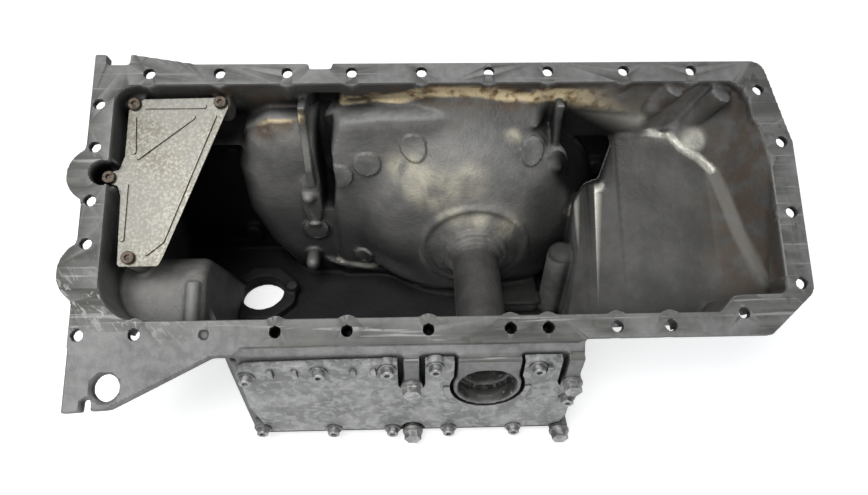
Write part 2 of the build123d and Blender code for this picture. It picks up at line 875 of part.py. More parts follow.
    # port, window and screw holes
    with BuildSketch(Plane.XY):
        with Locations((port_x, port_y)):
            Circle(port_r)
    extrude(amount=floor_thickness + port_pad_height + 1, mode=Mode.SUBTRACT)
    with BuildSketch(NEAR_FACE):
        with Locations(((window_left_x + window_right_x) / 2, (window_bottom_z + window_top_z) / 2)):
            RectangleRounded(window_right_x - window_left_x, window_top_z - window_bottom_z, 12)
    extrude(amount=-wall - 4, mode=Mode.SUBTRACT)
    with BuildSketch(NEAR_FACE):
        with Locations(*screw_places):
            Circle(cover_screw_r + thread_relief)
    extrude(amount=-cover_screw_hole_depth, mode=Mode.SUBTRACT)
    with BuildSketch(NEAR_FACE.offset(housing_boss_height)):
        with Locations(*housing_places):
            Circle(housing_bolt_r + thread_relief)
    extrude(amount=-housing_hole_depth, mode=Mode.SUBTRACT)
    with BuildSketch(DRAIN_FACE):
        Circle(drain_plug_r + thread_relief)
    extrude(amount=-drain_boss_height - wall - 4, mode=Mode.SUBTRACT)

    # baffle screw holes, and the pocket that lets the baffle's tab into the left wall
    with BuildSketch(FLANGE):
        with Locations(baffle_places[2]):
            Circle(baffle_screw_head_r + 5)
    extrude(amount=-baffle_drop - baffle_thickness, mode=Mode.SUBTRACT)
    with BuildSketch(FLANGE.offset(-baffle_drop - baffle_thickness)):
        with Locations(*baffle_places):
            Circle(baffle_screw_r + thread_relief)
    extrude(amount=-baffle_screw_grip, mode=Mode.SUBTRACT)

    # threaded holes of the differential's face
    with BuildSketch(Plane.XZ.offset(-mount_face_y)):
        with Locations(*mount_places):
            Circle(mount_bolt_r)
    extrude(amount=mount_bolt_depth, mode=Mode.SUBTRACT)

pan_casting.part.label = "pan_casting"
export_step(pan_casting.part, "parts/pan_casting.step")


# ---- side cover and its gasket ----


def cover_outline(edge):
    """Outline of the side cover, with edge mm taken off all round."""
    with BuildSketch() as sketch:
        with BuildLine():
            Polyline(
                (cover_left_x, cover_top_z - 6),
                (cover_left_x + 5, cover_top_z - 2),
                (cover_left_x + 64, cover_top_z),
                (cover_right_x - 10, cover_top_z + 2),
                (cover_right_x, cover_top_z - 12),
                (cover_right_x, cover_bottom_z + 20),
                (cover_right_x - 6, cover_bottom_z),
                (cover_left_x + 10, cover_bottom_z),
                (cover_left_x, cover_bottom_z + 44),
                close=True,
            )
        make_face()
        with Locations(*screw_places):
            Circle(cover_lobe_r)
        with Locations((0, tunnel_height)):
            Circle(tunnel_mouth_r + cover_gap, mode=Mode.SUBTRACT)
        with Locations((0, tunnel_height + tunnel_mouth_r)):
            Rectangle(2 * (tunnel_mouth_r + cover_gap) - 6, 2 * tunnel_mouth_r, mode=Mode.SUBTRACT)
        with Locations(*housing_places):
            Circle(housing_boss_r + cover_gap, mode=Mode.SUBTRACT)
        for x, z in housing_places[:2]:
            with Locations((x, cover_top_z)):
                Rectangle(2 * (housing_boss_r + cover_gap), 2 * (cover_top_z - z), mode=Mode.SUBTRACT)
        if edge:
            offset(amount=-edge)
        with Locations(*screw_places):
            Circle(cover_screw_hole_r, mode=Mode.SUBTRACT)
    return sketch.sketch


with BuildPart() as side_cover_gasket:
    with BuildSketch(NEAR_FACE):
        add(cover_outline(gasket_inset))
        with Locations(((window_left_x + window_right_x) / 2, (window_bottom_z + window_top_z) / 2)):
            RectangleRounded(
                window_right_x - window_left_x, window_top_z - window_bottom_z, 12, mode=Mode.SUBTRACT
            )
    extrude(amount=gasket_thickness)
side_cover_gasket.part.label = "side_cover_gasket"
export_step(side_cover_gasket.part, "parts/side_cover_gasket.step")

with BuildPart() as side_cover:
    with BuildSketch(NEAR_FACE.offset(gasket_thickness)):
        add(cover_outline(0))
    extrude(amount=cover_thickness)
    # raised rings round the screws
    with BuildSketch(NEAR_FACE.offset(gasket_thickness + cover_thickness)):
        with Locations(*screw_places):
            Circle(cover_screw_seat_r)
            Circle(cover_screw_hole_r, mode=Mode.SUBTRACT)
    extrude(amount=cover_screw_seat)
    # short cooling fins under the top edge
    with BuildSketch(NEAR_FACE.offset(gasket_thickness + cover_thickness)):
        for x in cover_fin_x:
            with Locations((x, cover_top_z - 9)):
                RectangleRounded(cover_fin_width, 10, 1)
    extrude(amount=cover_fin_height)
    # rim below the tunnel's mouth
    with BuildSketch(NEAR_FACE.offset(gasket_thickness + cover_thickness)):
        with Locations((0, tunnel_height)):
            Circle(tunnel_mouth_r + cover_gap + cover_rim_width)
            Circle(tunnel_mouth_r + cover_gap, mode=Mode.SUBTRACT)
            Rectangle(
                4 * tunnel_mouth_r, 2 * tunnel_mouth_r, align=(Align.CENTER, Align.MIN), mode=Mode.SUBTRACT
            )
    extrude(amount=cover_screw_seat)
side_cover.part.label = "side_cover"
export_step(side_cover.part, "parts/side_cover.step")


# ---- fasteners ----


def socket_screw(plane, head_r, head, shank_r, grip, socket_r):
    """Screw whose head sits on the plane and whose shank goes down from it."""
    with BuildPart() as screw:
        with BuildSketch(plane):
            Circle(head_r)
        extrude(amount=head)
        chamfer(faces().sort_by(Axis(plane.origin, plane.z_dir))[-1].edges(), 0.6)
        with BuildSketch(plane.offset(head)):
            RegularPolygon(socket_r, 6)
        extrude(amount=-head + 1.5, mode=Mode.SUBTRACT)
        with BuildSketch(plane):
            Circle(shank_r)
        extrude(amount=-grip)
        chamfer(faces().sort_by(Axis(plane.origin, plane.z_dir))[0].edges(), 0.6)
    return screw.part


def hex_bolt(plane, flats, head, flange_r, shank_r, grip):
    """Flange bolt whose flange sits on the plane and whose shank goes down from it."""
    with BuildPart() as bolt:
        with BuildSketch(plane):
            Circle(flange_r)
        extrude(amount=hex_flange)
        with BuildSketch(plane.offset(hex_flange)):
            RegularPolygon(flats / 2, 6, major_radius=False)
        extrude(amount=head - hex_flange)
        with BuildSketch(plane):
            Circle(shank_r)
        extrude(amount=-grip)
        chamfer(faces().sort_by(Axis(plane.origin, plane.z_dir))[0].edges(), 0.8)
    return bolt.part


def write(part, name):
    part.label = name
    export_step(part, "parts/" + name + ".step")


for number, (x, z) in enumerate(screw_places, start=1):
    seat_y = cover_face_y - cover_screw_seat
    seat = Plane(origin=(x, seat_y, z), x_dir=(1, 0, 0), z_dir=(0, -1, 0))
    screw = socket_screw(
        seat, cover_screw_head_r, cover_screw_head, cover_screw_r, cover_screw_grip, cover_socket_r
    )
    write(screw, f"side_cover_screw_{number:02d}")

for number, (x, z) in enumerate(housing_places, start=1):
    boss_y = near_face_y - housing_boss_height
    boss = Plane(origin=(x, boss_y, z), x_dir=(1, 0, 0), z_dir=(0, -1, 0))
    with BuildPart() as washer:
        with BuildSketch(boss):
            Circle(housing_washer_r)
            Circle(housing_bolt_r + clearance, mode=Mode.SUBTRACT)
        extrude(amount=housing_washer_thickness)
    write(washer.part, f"housing_bolt_washer_{number}")
    bolt = hex_bolt(
        boss.offset(housing_washer_thickness),
        housing_bolt_flats,
        housing_bolt_head,
        housing_bolt_flange_r,
        housing_bolt_r,
        housing_bolt_grip,
    )
    write(bolt, f"housing_bolt_{number}")


# ---- drain plug ----

with BuildPart() as drain_plug_washer:
    with BuildSketch(DRAIN_FACE):
        Circle(drain_washer_r)
        Circle(drain_plug_r + clearance, mode=Mode.SUBTRACT)
    extrude(amount=drain_washer_thickness)
write(drain_plug_washer.part, "drain_plug_washer")

drain_plug = hex_bolt(
    DRAIN_FACE.offset(drain_washer_thickness),
    drain_plug_flats,
    drain_plug_head,
    drain_washer_r,
    drain_plug_r,
    drain_plug_grip,
)
write(drain_plug, "drain_plug")


# ---- baffle plate ----

BAFFLE = FLANGE.offset(-baffle_drop - baffle_thickness)
baffle_beads = [
    [(inner_left + 21, inner_far - 13), (inner_left + 70, inner_far - 13)],
    [(inner_left + 11, inner_far - 24), (inner_left + 13, inner_far - 54)],
    [(inner_left + 61, inner_far - 23), (inner_left + 17, inner_far - 59)],
    [(inner_left + 79, inner_far - 22), (inner_left + 42, 78), (inner_left + 30, 68)],
    [(inner_left + 9, 126), (inner_left + 9, 80)],
]
with BuildPart() as baffle_plate:
    with BuildSketch(BAFFLE):
        with BuildLine():
            Polyline(
                (inner_left + 18, inner_far - 6),
                (inner_left + 6, inner_far - 16),
                (inner_left + 6, 152),
                (inner_left + 2, 140),
                (inner_left - 8, 137),
                (inner_left - 8, 129),
                (inner_left + 2, 126),
                (inner_left + 5, 117),
                (inner_left + 7, 57),
                (inner_left + 40, 57),
                (inner_left + 44, 66),
                (inner_left + 91, inner_far - 12),
                (inner_left + 80, inner_far - 5),
                close=True,
            )
        make_face()
        fillet(vertices(), 3)
        with Locations(*baffle_places):
            Circle(baffle_screw_r + clearance, mode=Mode.SUBTRACT)
    extrude(amount=baffle_thickness)
    # pressed ribs
    with BuildSketch(FLANGE.offset(-baffle_drop)):
        for bead in baffle_beads:
            for start, end in zip(bead, bead[1:]):
                with BuildLine(mode=Mode.PRIVATE) as ridge:
                    Line(start, end)
                SlotArc(ridge.line.edge(), 2 * baffle_bead_r)
    extrude(amount=baffle_bead)
write(baffle_plate.part, "baffle_plate")

for number, (x, y) in enumerate(baffle_places, start=1):
    seat = Plane(origin=flange_point(x, y, -baffle_drop), x_dir=(1, 0, 0), z_dir=normal)
    screw = socket_screw(
        seat, baffle_screw_head_r, baffle_screw_head, baffle_screw_r, baffle_screw_grip, baffle_socket_r
    )
    write(screw, f"baffle_screw_{number}")
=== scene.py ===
import math

import bmesh
import bpy
import numpy as np
from mathutils import Matrix, Vector


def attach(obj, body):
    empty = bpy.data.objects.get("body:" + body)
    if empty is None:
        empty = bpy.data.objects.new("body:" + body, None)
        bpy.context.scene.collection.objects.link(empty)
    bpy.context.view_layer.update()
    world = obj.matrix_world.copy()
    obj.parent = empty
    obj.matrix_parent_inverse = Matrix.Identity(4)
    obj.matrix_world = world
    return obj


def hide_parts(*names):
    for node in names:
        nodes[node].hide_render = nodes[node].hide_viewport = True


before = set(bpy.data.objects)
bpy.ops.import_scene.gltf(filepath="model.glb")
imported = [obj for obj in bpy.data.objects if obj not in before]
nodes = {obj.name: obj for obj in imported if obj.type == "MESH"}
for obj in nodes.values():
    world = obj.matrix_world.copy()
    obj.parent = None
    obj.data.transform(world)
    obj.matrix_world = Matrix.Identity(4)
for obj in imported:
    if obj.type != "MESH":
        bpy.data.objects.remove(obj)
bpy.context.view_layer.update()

MM = 0.001
TINY = 1e-6

# the gasket flange's plane, in the row frame
TILT = math.radians(30)
FLANGE_ORIGIN = np.array((0, -70, 138)) * MM
FLANGE_NORMAL = np.array((0, -math.sin(TILT), math.cos(TILT)))
FLANGE_ACROSS = np.array((0, math.cos(TILT), math.sin(TILT)))

# the casting's skin: its grid, how much it is softened, its triangles, and the edges that stay sharp
SKIN_VOXEL = 0.0016
SKIN_ROUNDS = 3
SKIN_TRIANGLES = 180000
SHARP_EDGE = math.radians(30)
WEIGHT_LEVELS = 8

# the half-shaft tunnel: its axis, a radius just past its seat, and where its machined bore ends
TUNNEL_HEIGHT = 0.088
TUNNEL_SEAT = 0.026
TUNNEL_END = 0.06

# how many rays look for corners and crevices
NOOK_SAMPLES = 6


# ---- small helpers ----


def flange_coords(points):
    """Place along, across and above the flange's plane, in metres."""
    local = points - FLANGE_ORIGIN
    return local[:, 0], local @ FLANGE_ACROSS, local @ FLANGE_NORMAL


def mesh_points(mesh):
    """Each vertex's place, in the row frame."""
    points = np.empty(len(mesh.vertices) * 3)
    mesh.vertices.foreach_get("co", points)
    return points.reshape(-1, 3)


def mesh_normals(mesh):
    """Each vertex's normal."""
    normals = np.empty(len(mesh.vertices) * 3)
    mesh.vertex_normals.foreach_get("vector", normals)
    return normals.reshape(-1, 3)


def set_points(mesh, points):
    """Moves the mesh's vertices to those places."""
    mesh.vertices.foreach_set("co", points.ravel())
    mesh.update()


def smooth_step(low, high, value):
    """Nothing at low and one at high, where low may be the larger of the two."""
    t = np.clip((value - low) / (high - low), 0, 1)
    return t * t * (3 - 2 * t)


def add_attribute(mesh, name, values):
    """Keeps a value for each vertex, for the material to read."""
    layer = mesh.attributes.new(name, "FLOAT", "POINT")
    layer.data.foreach_set("value", values.astype(np.float32))


def evaluated(obj, name):
    """The object's mesh with its modifiers applied, as a new object in its place."""
    graph = bpy.context.evaluated_depsgraph_get()
    mesh = bpy.data.meshes.new_from_object(obj.evaluated_get(graph))
    bpy.data.objects.remove(obj)
    piece = bpy.data.objects.new(name, mesh)
    bpy.context.scene.collection.objects.link(piece)
    return piece


def soften(piece, name, rounds, factor=0.5, weights=None):
    """Adds a smoothing of that many rounds, all over or by each vertex's weight."""
    smooth = piece.modifiers.new(name, "SMOOTH")
    smooth.factor = factor
    smooth.iterations = rounds
    if weights is not None:
        group = piece.vertex_groups.new(name=name)
        levels = np.round(weights * WEIGHT_LEVELS).astype(int)
        for level in range(1, WEIGHT_LEVELS + 1):
            group.add(np.flatnonzero(levels == level).tolist(), level / WEIGHT_LEVELS, "REPLACE")
        smooth.vertex_group = group.name


def remeshed(node, name, extra):
    """A cast skin over a CAD node and an extra mesh: one even mesh, its grid laid along the flange."""
    piece = bpy.data.objects.new(name, nodes[node].data.copy())
    bpy.context.scene.collection.objects.link(piece)
    both = bmesh.new()
    both.from_mesh(piece.data)
    both.from_mesh(extra)
    both.to_mesh(piece.data)
    both.free()
    piece.data.transform(Matrix.Rotation(-TILT, 4, "X"))
    remesh = piece.modifiers.new("skin", "REMESH")
    remesh.mode = "VOXEL"
    remesh.voxel_size = SKIN_VOXEL
    soften(piece, "soften", SKIN_ROUNDS)
    piece = evaluated(piece, name)
    piece.data.transform(Matrix.Rotation(TILT, 4, "X"))
    return piece


def thinned(piece):
    """The piece with about SKIN_TRIANGLES triangles, smooth but for its sharp edges."""
    name = piece.name
    thin = piece.modifiers.new("thin", "DECIMATE")
    thin.ratio = min(1.0, SKIN_TRIANGLES / (2 * len(piece.data.polygons)))
    piece = evaluated(piece, name)
    piece.data.shade_smooth()
    piece.data.set_sharp_from_angle(angle=SHARP_EDGE)
    even = piece.modifiers.new("even", "WEIGHTED_NORMAL")
    even.keep_sharp = True
    return evaluated(piece, name)


# ---- materials ----


class Finish:
    """A material built node by node round one principled shader."""

    def __init__(self, name, colour, metallic, roughness):
        self.material = bpy.data.materials.new(name)
        self.material.use_nodes = True
        self.tree = self.material.node_tree
        self.shader = self.tree.nodes["Principled BSDF"]
        self.shader.inputs["Base Color"].default_value = (*colour, 1)
        self.shader.inputs["Metallic"].default_value = metallic
        self.shader.inputs["Roughness"].default_value = roughness
        self.place = self.add("ShaderNodeTexCoord").outputs["Object"]

    def add(self, kind, **settings):
        """A new node with those settings."""
        node = self.tree.nodes.new(kind)
        for key, value in settings.items():
            setattr(node, key, value)
        return node

    def feed(self, socket, value):
        """Sets an input from a number, a colour or another node's output."""
        if isinstance(value, bpy.types.NodeSocket):
            self.tree.links.new(value, socket)
        elif isinstance(value, tuple) and len(value) == 3 and socket.type == "RGBA":
            socket.default_value = (*value, 1)
        else:
            socket.default_value = value

    def noise(self, scale, low=0.4, high=0.6, detail=4.0, stretch=(1, 1, 1), turn=(0, 0, 0), warp=0.0):
        """Noise of that many waves a metre, running from 0 at low to 1 at high."""
        mapping = self.add("ShaderNodeMapping")
        self.feed(mapping.inputs["Vector"], self.place)
        self.feed(mapping.inputs["Rotation"], turn)
        stretched = self.add("ShaderNodeVectorMath", operation="MULTIPLY")
        self.feed(stretched.inputs[0], mapping.outputs["Vector"])
        self.feed(stretched.inputs[1], stretch)
        texture = self.add("ShaderNodeTexNoise")
        self.feed(texture.inputs["Vector"], stretched.outputs["Vector"])
        self.feed(texture.inputs["Scale"], scale)
        self.feed(texture.inputs["Detail"], detail)
        self.feed(texture.inputs["Distortion"], warp)
        return self.spread(texture.outputs["Fac"], low, high)

    def spread(self, value, low, high):
        """The value, taken from 0 at low to 1 at high."""
        range_ = self.add("ShaderNodeMapRange", interpolation_type="SMOOTHSTEP")
        self.feed(range_.inputs["Value"], value)
        self.feed(range_.inputs["From Min"], low)
        self.feed(range_.inputs["From Max"], high)
        return range_.outputs["Result"]

    def nook(self, reach, low, high):
        """Ambient occlusion: one in the open, nothing in corners and crevices within that reach; the finishes
        paint shade with it.
        """
        node = self.add("ShaderNodeAmbientOcclusion", samples=NOOK_SAMPLES)
        self.feed(node.inputs["Distance"], reach)
        return self.spread(node.outputs["AO"], low, high)

    def mask(self, name):
        """The value that the mesh keeps under that name."""
        return self.add("ShaderNodeAttribute", attribute_name=name).outputs["Fac"]

    def times(self, first, second, operation="MULTIPLY"):
        """The product of two values, or what another operation makes of them, from 0 to 1."""
        node = self.add("ShaderNodeMath", operation=operation, use_clamp=True)
        self.feed(node.inputs[0], first)
        self.feed(node.inputs[1], second)
        return node.outputs[0]

    def coat(self, base, amount, colour, *masks):
        """The base under a coat of that colour: up to that amount, where every mask is high."""
        for mask in masks:
            amount = self.times(mask, amount)
        return self.blend(amount, base, colour)

    def blend(self, amount, first, second):
        """first where amount is 0, second where it is 1; colours or numbers."""
        plain = isinstance(first, (int, float)) or getattr(first, "type", "") == "VALUE"
        node = self.add("ShaderNodeMix", data_type="FLOAT" if plain else "RGBA")
        start, end, result = (2, 3, 0) if plain else (6, 7, 2)
        self.feed(node.inputs[0], amount)
        self.feed(node.inputs[start], first)
        self.feed(node.inputs[end], second)
        return node.outputs[result]

    def bump(self, height, depth):
        """Relief of that depth in metres, added to any relief already there."""
        node = self.add("ShaderNodeBump")
        self.feed(node.inputs["Height"], height)
        self.feed(node.inputs["Distance"], depth)
        socket = self.shader.inputs["Normal"]
        if socket.is_linked:
            self.feed(node.inputs["Normal"], socket.links[0].from_socket)
        self.feed(socket, node.outputs["Normal"])

    def finish(self, *pieces, colour=None, roughness=None, metallic=None):
        """Feeds the shader and puts the material on the pieces."""
        for key, value in (("Base Color", colour), ("Roughness", roughness), ("Metallic", metallic)):
            if value is not None:
                self.feed(self.shader.inputs[key], value)
        for piece in pieces:
            piece.data.materials.clear()
            piece.data.materials.append(self.material)


# ---- camera, light and stage ----

# the camera, as fitted to the flange's bolt rows
CAMERA_PLACE = (-0.058, -0.3751, 0.5641)
CAMERA_SENSOR = 36
CAMERA_LENS = 27.47
CAMERA_NEAR = 0.01
CAMERA_PITCH = math.radians(12.68)
CAMERA_YAW = math.radians(-1.449)
CAMERA_ROLL = math.radians(-1.148)

# each lamp's place, size and power; all of them face one place inside the pan
LAMPS = {
    "key": ((-0.42, -0.4, 1.36), (0.9, 0.7), 14),
    "back": ((0.2, 1.1, 1.1), (1.4, 0.6), 2),
    "front": ((-0.3, -1.4, 0.9), (1.4, 0.6), 6.5),
}
LAMP_TARGET = Vector((0, 0, 0.1))

# the room that lights the pan, and the white that the camera sees behind it
ROOM_COLOUR = (0.8, 0.85, 0.9, 1)
ROOM_STRENGTH = 0.28
BACKDROP_COLOUR = (1, 1, 1, 1)
BACKDROP_STRENGTH = 1.0

# the floor: half its side, how far it lies under the pan, its colour and its glow to the camera
FLOOR_REACH = 6.0
FLOOR_DROP = 0.0005
FLOOR_COLOUR = (0.8, 0.8, 0.8, 1)
FLOOR_GLOW = 0.62


def make_camera():
    lean = Matrix.Rotation(TILT, 3, "X")
    turn = Matrix.Rotation(CAMERA_ROLL, 3, "Z")
    turn = turn @ Matrix.Rotation(CAMERA_YAW, 3, "Y")
    turn = turn @ Matrix.Rotation(CAMERA_PITCH, 3, "X")
    data = bpy.data.cameras.new("camera")
    data.sensor_width = CAMERA_SENSOR
    data.lens = CAMERA_LENS
    data.clip_start = CAMERA_NEAR
    camera = bpy.data.objects.new("camera", data)
    camera.matrix_world = Matrix.Translation(CAMERA_PLACE) @ (lean @ turn).to_4x4()
    bpy.context.scene.collection.objects.link(camera)
    bpy.context.scene.camera = camera


def make_lamps():
    for name, (place, (width, height), power) in LAMPS.items():
        data = bpy.data.lights.new(name, "AREA")
        data.shape = "RECTANGLE"
        data.size = width
        data.size_y = height
        data.energy = power
        lamp = bpy.data.objects.new(name, data)
        lamp.location = place
        away = Vector(place) - LAMP_TARGET
        lamp.rotation_euler = away.to_track_quat("Z", "Y").to_euler()
        bpy.context.scene.collection.objects.link(lamp)


def make_world():
    """A soft pale room, white where the camera sees it."""
    world = bpy.data.worlds.new("world")
    bpy.context.scene.world = world
    world.use_nodes = True
    tree = world.node_tree
    tree.nodes.clear()
    output = tree.nodes.new("ShaderNodeOutputWorld")
    mix = tree.nodes.new("ShaderNodeMixShader")
    room = tree.nodes.new("ShaderNodeBackground")
    room.inputs["Color"].default_value = ROOM_COLOUR
    room.inputs["Strength"].default_value = ROOM_STRENGTH
    seen = tree.nodes.new("ShaderNodeBackground")
    seen.inputs["Color"].default_value = BACKDROP_COLOUR
    seen.inputs["Strength"].default_value = BACKDROP_STRENGTH
    path = tree.nodes.new("ShaderNodeLightPath")
    tree.links.new(path.outputs["Is Camera Ray"], mix.inputs["Fac"])
    tree.links.new(room.outputs["Background"], mix.inputs[1])
    tree.links.new(seen.outputs["Background"], mix.inputs[2])
    tree.links.new(mix.outputs["Shader"], output.inputs["Surface"])


def make_stage():
    """A pale floor that glows towards the camera alone and keeps the pan's shadow."""
    mesh = bpy.data.meshes.new("floor")
    far = FLOOR_REACH
    mesh.from_pydata([(-far, -far, 0), (far, -far, 0), (far, far, 0), (-far, far, 0)], [], [(0, 1, 2, 3)])
    floor = bpy.data.objects.new("floor", mesh)
    floor.location.z = -FLOOR_DROP
    bpy.context.scene.collection.objects.link(floor)
    material = bpy.data.materials.new("floor_white")
    material.use_nodes = True
    tree = material.node_tree
    tree.nodes.clear()
    output = tree.nodes.new("ShaderNodeOutputMaterial")
    paint = tree.nodes.new("ShaderNodeBsdfDiffuse")
    paint.inputs["Color"].default_value = FLOOR_COLOUR
    glow = tree.nodes.new("ShaderNodeEmission")
    glow.inputs["Strength"].default_value = FLOOR_GLOW
    both = tree.nodes.new("ShaderNodeAddShader")
    mix = tree.nodes.new("ShaderNodeMixShader")
    path = tree.nodes.new("ShaderNodeLightPath")
    tree.links.new(paint.outputs[0], both.inputs[0])
    tree.links.new(glow.outputs[0], both.inputs[1])
    tree.links.new(path.outputs["Is Camera Ray"], mix.inputs["Fac"])
    tree.links.new(paint.outputs[0], mix.inputs[1])
    tree.links.new(both.outputs[0], mix.inputs[2])
    tree.links.new(mix.outputs[0], output.inputs["Surface"])
    floor.data.materials.append(material)


# ---- the casting's skin ----

# the hump in the far wall, in the row frame: round pads (x, z, radius), and how far they are raised
HUMP_PADS = (
    (-0.128, 0.152, 0.0130),
    (-0.101, 0.166, 0.0130),
    (-0.058, 0.187, 0.0120),
    (-0.1115, 0.042, 0.0100),
    (0.049, 0.184, 0.0105),
    (-0.158, 0.078, 0.0125),
)
PAD_HEIGHT = 0.0028
PAD_EDGE = 0.0009

# the valley beside the hump's left rib (x, z, half width), how deep it is sunk, and where its sides end,
# as shares of the half width
VALLEY = (
    (-0.1330, 0.236, 0.0210),
    (-0.1370, 0.205, 0.0140),
    (-0.1405, 0.175, 0.0085),
    (-0.1395, 0.140, 0.0090),
    (-0.1430, 0.108, 0.0060),
)
VALLEY_DEPTH = 0.02
VALLEY_SIDES = (1.0, 0.45)

# the filled corner above the bell: its face leans back from here
CORNER_Y = 0.1
CORNER_Z = 0.202

# how strongly and how often the hump and everything below the flange's crisp edge are smoothed
HUMP_FACTOR = 0.9
HUMP_ROUNDS = 110
BELOW_ROUNDS = 7
CRISP_DEPTH = -0.010
RIGHT_RIB_X = 0.061

# what lies within this of the flange's plane, and faces up along it, is its flat top
FLANGE_TOP_DEPTH = -0.0013
FLANGE_TOP_FACING = 0.6

# the middle of the inside, which every inner wall faces: along (its ends), across and above the flange
INSIDE_ALONG = (-0.25, 0.18)
INSIDE_ACROSS = 0.11
INSIDE_ABOVE = -0.03

# the shallow end's shoulder seen from above: x at y, and how x grows with y
SHOULDER_X = 0.116
SHOULDER_Y = 0.081
SHOULDER_SLOPE = 0.45

# the cup round the baffle's outer screw: its middle along and across the flange, its sizes, how near its
# floor comes to its own axis, and half the angle that it leaves open towards the inside
CUP_PLACE = (-0.313, 0.133)
CUP_RADIUS = 0.0115
CUP_WALL = 0.003
CUP_TOP = -0.006
CUP_LOW = -0.032
CUP_MIDDLE = 0.0005
CUP_OPENING = math.radians(50)
CUP_STEPS = 32

# regions of the casting: each is a product of steps along the places that skin_places gives, and each step
# is nothing at its first value and one at its second
REGIONS = {
    # where soften_hump and shape_hump work
    "corner": (
        ("x", -0.055, -0.035),
        ("x", 0.066, 0.050),
        ("z", 0.192, 0.204),
        ("y", 0.145, 0.138),
        ("above", -0.004, -0.012),
        ("up_and_near", -0.1, 0.2),
        ("z", 0.226, 0.221),
    ),
    "lobe": (
        ("x", -0.134, -0.122),
        ("x", 0.078, 0.066),
        ("radius", 0.054, 0.062),
        ("y", 0.056, 0.064),
        ("y", 0.127, 0.119),
        ("above", -0.012, -0.02),
        ("z", 0.022, 0.034),
    ),
    "right_rib": (("from_right_rib", 0.014, 0.009), ("z", 0.150, 0.158)),
    "hump_front": (("normal_y", -0.1, -0.4),),
    "valley_room": (("above", -0.016, -0.026),),
    "valley_floor": (("y", 0.149, 0.115),),
    # machined faces, and the ear of the flange that is left as cast
    "flange_top": (("above", -0.0012, -0.0004), ("facing", 0.75, 0.93)),
    "ear": (("across", 0.004, 0.0024), ("along", -0.18, -0.19)),
    "mount_face": (("y", 0.1488, 0.1496), ("normal_y", 0.8, 0.95)),
    "bore": (("inward", 0.3, 0.7),),
    # the oily inside and its parts; the pockets and the bell's right flank carry painted shade
    "inside": (
        ("towards_inside", -0.01, 0.02),
        ("above", -0.0005, -0.003),
        ("across", 0.0, 0.004),
        ("along", -0.312, -0.306),
    ),
    "cup": (
        ("from_cup", CUP_RADIUS + 0.0016, CUP_RADIUS + 0.0008),
        ("above", -0.002, -0.005),
        ("above", CUP_LOW - 0.0015, CUP_LOW - 0.0005),
    ),
    "deep": (("above", -0.05, -0.15), ("facing", 0.9, 0.4)),
    "floor": (("z", 0.045, 0.012),),
    "right_wall": (
        ("across", 0.150, 0.195),
        ("along", 0.205, 0.175),
        ("along", 0.09, 0.13),
        ("above", -0.07, -0.02),
    ),
    "end_wall": (("along", 0.19, 0.225), ("normal_x", 0.3, -0.2)),
    "left_pocket": (("x", -0.198, -0.214), ("z", 0.212, 0.196), ("y", 0.10, 0.125)),
    "right_pocket": (
        ("x", 0.066, 0.078),
        ("past_shoulder", 0.004, -0.004),
        ("y", 0.080, 0.088),
        ("z", 0.220, 0.208),
    ),
    "shallow": (("along", 0.052, 0.075), ("y", 0.118, 0.105)),
    "tube": (("radius", 0.031, 0.027), ("y", 0.05, 0.04)),
    # the bell's right flank, painted dark as shade
    "flank": (("x", 0.03, 0.066), ("x", 0.088, 0.076), ("z", 0.178, 0.150)),
    "crown": (("z", 0.188, 0.212), ("along", 0.09, 0.07)),
    "ledge": (("x", 0.178, 0.150), ("x", 0.10, 0.115), ("y", 0.078, 0.095), ("z", 0.215, 0.2)),
    # the hump's front, which is painted paler
    "paler_front": (
        ("x", 0.04, 0.02),
        ("x", -0.215, -0.19),
        ("y", 0.055, 0.075),
        ("z", 0.02, 0.05),
        ("z", 0.205, 0.185),
    ),
    # tones of the machined faces
    "dull": (("across", 0.18, 0.21),),
    "bright": (("along", 0.08, 0.2),),
    "worn": (("across", 0.07, 0.02), ("along", -0.15, -0.27)),
}

# hard limits along Y: the hump's front, and the near end of the valley
HUMP_FRONT_Y = (0.06, 0.125)
VALLEY_FRONT_Y = 0.08

# how strong the oil on the hump's crown and the stain on the walls are
CROWN_OIL = 0.8
WALL_STAIN = 0.6

# lines of the far wall where oil varnish gathers, in the row frame, and how wide it and its halo are
VARNISH_LINES = (
    ((-0.128, 0.130, 0.212), (-0.112, 0.124, 0.218), (-0.092, 0.127, 0.217), (-0.074, 0.125, 0.220)),
    ((-0.074, 0.125, 0.220), (-0.060, 0.123, 0.225), (-0.047, 0.117, 0.231), (-0.025, 0.119, 0.231)),
    ((-0.025, 0.119, 0.231), (0.005, 0.118, 0.231), (0.020, 0.122, 0.226), (0.038, 0.124, 0.222)),
    ((0.038, 0.124, 0.222), (0.059, 0.119, 0.227), (0.085, 0.117, 0.227)),
    ((-0.195, 0.122, 0.202), (-0.173, 0.119, 0.205), (-0.158, 0.108, 0.213)),
)
VARNISH_WIDTH = (0.0085, 0.005)
HALO_WIDTH = (0.020, 0.008)

# beads and edges of the inside, where highlights are painted on
HIGHLIGHT_LINES = (
    ((0.164, 0.119, 0.183), (0.179, 0.112, 0.185), (0.189, 0.101, 0.179)),
    ((0.189, 0.101, 0.179), (0.204, 0.090, 0.175), (0.213, 0.079, 0.171)),
    ((0.091, 0.081, 0.117), (0.098, 0.077, 0.135), (0.116, 0.081, 0.150)),
    ((-0.139, 0.104, 0.028), (-0.106, 0.098, 0.024), (-0.079, 0.086, 0.020), (-0.057, 0.080, 0.014)),
)
HIGHLIGHT_WIDTH = (0.005, 0.002)

# a highlight painted along the bevel beside the end wall
BEVEL_LIGHT_LINES = (
    ((0.214, 0.077, 0.170), (0.222, 0.052, 0.158), (0.229, 0.025, 0.145)),
    ((0.229, 0.025, 0.145), (0.236, 0.002, 0.136), (0.243, -0.02, 0.13)),
)
BEVEL_LIGHT_WIDTH = (0.007, 0.004)
